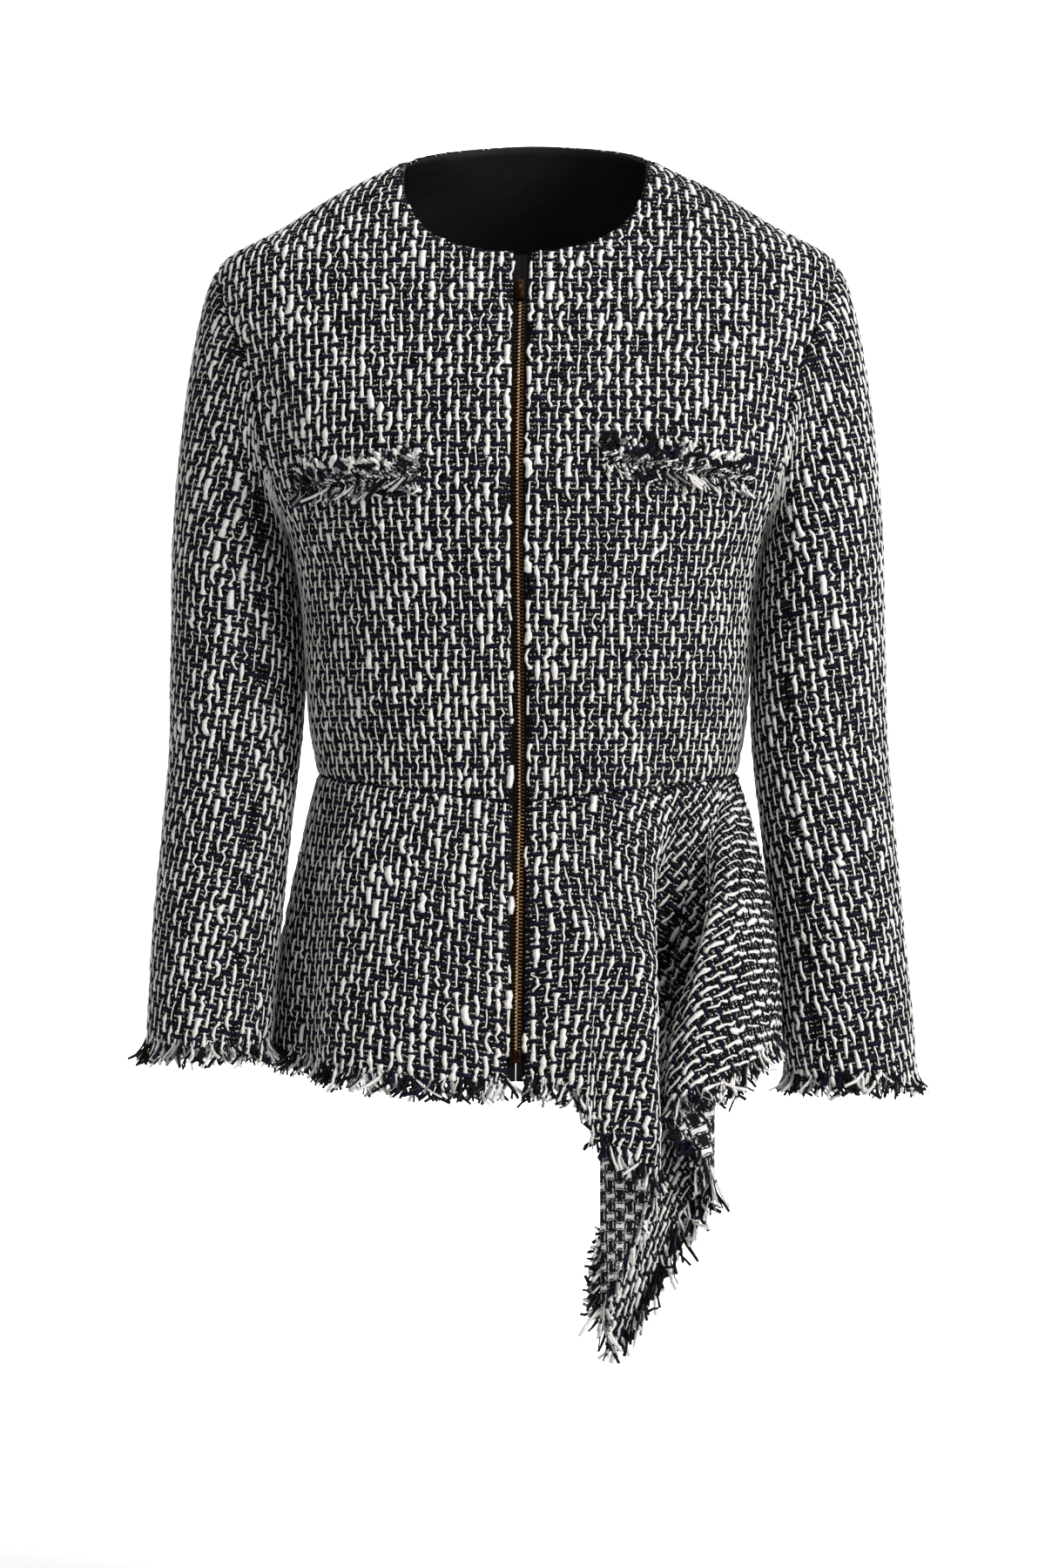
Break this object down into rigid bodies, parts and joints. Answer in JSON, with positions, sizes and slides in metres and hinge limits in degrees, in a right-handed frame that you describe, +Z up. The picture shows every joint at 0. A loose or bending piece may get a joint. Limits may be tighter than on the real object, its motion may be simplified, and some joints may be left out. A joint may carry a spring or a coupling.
{
  "type": "jacket",
  "caption": "Collarless cropped jacket of nubbly cotton tweed with a full-length zip, frayed edges and a peplum draped at one front; worn hollow form with set-in sleeves.",
  "frame": {"origin": "on the body's middle line, in the plane of the shoulder seams, at mid-shoulder height, where the wearer's shoulders hold it", "axes": "+Z up, -Y is the front, +X is the wearer's left"},
  "size_m": [0.4785, 0.2975, 0.7609],
  "materials": {
    "tweed": "nubbly black, navy and off-white weave",
    "frayed_yarn": "loose frayed yarn",
    "black_cotton": "plain black cotton",
    "brass": "polished brass",
    "dark_copper": "dark antique copper"
  },
  "bodies": {
    "root": {"front_left": "tweed", "front_right": "tweed", "back": "tweed", "sleeve_left_upper": "tweed", "sleeve_left_under": "tweed", "sleeve_right_upper": "tweed", "sleeve_right_under": "tweed", "peplum_front_left": "tweed", "peplum_front_right": "tweed", "peplum_back": "tweed", "cuff_fringe_left": "frayed_yarn", "cuff_fringe_right": "frayed_yarn", "hem_fringe_left": "frayed_yarn", "hem_fringe_right": "frayed_yarn", "hem_fringe_back": "frayed_yarn", "pocket_strip_left": "frayed_yarn", "pocket_strip_right": "frayed_yarn", "neck_facing": "black_cotton", "zip_tape_left": "black_cotton", "zip_tape_right": "black_cotton", "zip_chain": "brass", "zip_slider": "dark_copper", "zip_box": "dark_copper"}
  },
  "joints": []
}
